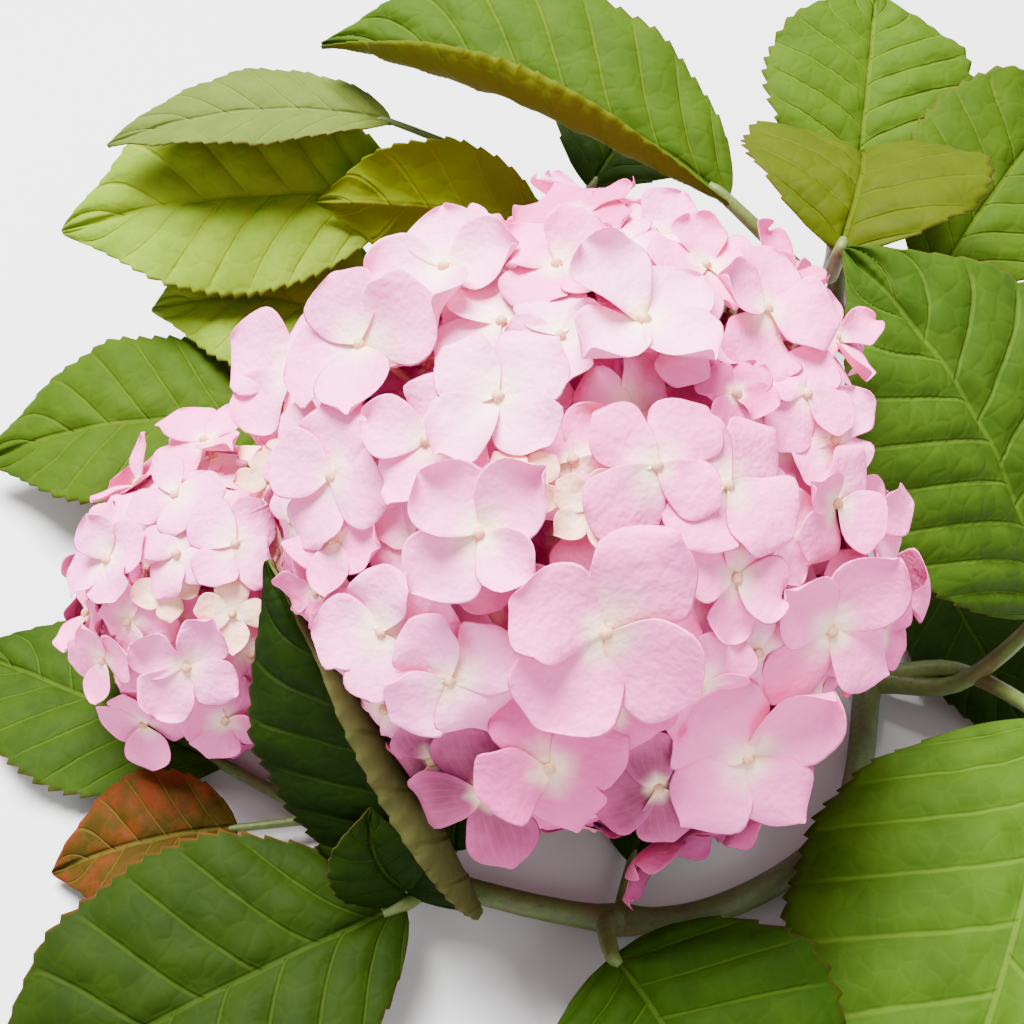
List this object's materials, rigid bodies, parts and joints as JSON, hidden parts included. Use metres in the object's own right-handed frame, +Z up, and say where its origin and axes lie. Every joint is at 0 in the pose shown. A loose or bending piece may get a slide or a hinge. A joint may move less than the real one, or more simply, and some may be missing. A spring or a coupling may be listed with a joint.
{
  "type": "cut hydrangea branch",
  "caption": "Cut mophead hydrangea branch lying down: woody stem, leafy green shoots, broad toothed leaves, a large and a small round pink bloom.",
  "frame": {"origin": "centre of the branch's bounding box, on the surface it lies on", "axes": "+Z up; the cut end of the woody stem lies towards +Y and the blooms face -Y and up; +X to the large bloom's right as the picture shows it"},
  "size_m": [0.3571, 0.3868, 0.1659],
  "materials": {
    "stem_bark": "matte",
    "green_shoot": "satin",
    "leaf_green": "satin",
    "leaf_yellow_green": "satin",
    "leaf_autumn": "satin",
    "bloom": "matte"
  },
  "bodies": {
    "root": {"main_stem": "stem_bark", "large_bloom_shoot": "green_shoot", "front_leafy_shoot": "green_shoot", "small_bloom_shoot": "green_shoot", "right_back_leafy_shoot": "green_shoot", "left_back_leafy_shoot": "green_shoot", "leaf_front_right": "leaf_green", "leaf_right": "leaf_green", "leaf_back_heart": "leaf_yellow_green", "leaf_back_upright": "leaf_yellow_green", "leaf_back_left_long": "leaf_green", "leaf_back_left_under": "leaf_yellow_green", "leaf_back_left_pale": "leaf_yellow_green", "leaf_front_left": "leaf_green", "leaf_between_blooms": "leaf_green", "leaf_young_front": "leaf_green", "leaf_young_dark": "leaf_green", "leaf_front_middle": "leaf_green", "leaf_under_bloom": "leaf_green", "leaf_back_right_pale": "leaf_green", "leaf_right_low": "leaf_green", "leaf_left_green": "leaf_green", "leaf_left_autumn": "leaf_autumn", "leaf_far_left": "leaf_green", "leaf_yellow_left": "leaf_yellow_green", "leaf_yellow_low": "leaf_yellow_green", "leaf_back_dark": "leaf_green", "large_bloom": "bloom", "small_bloom": "bloom"}
  },
  "joints": []
}
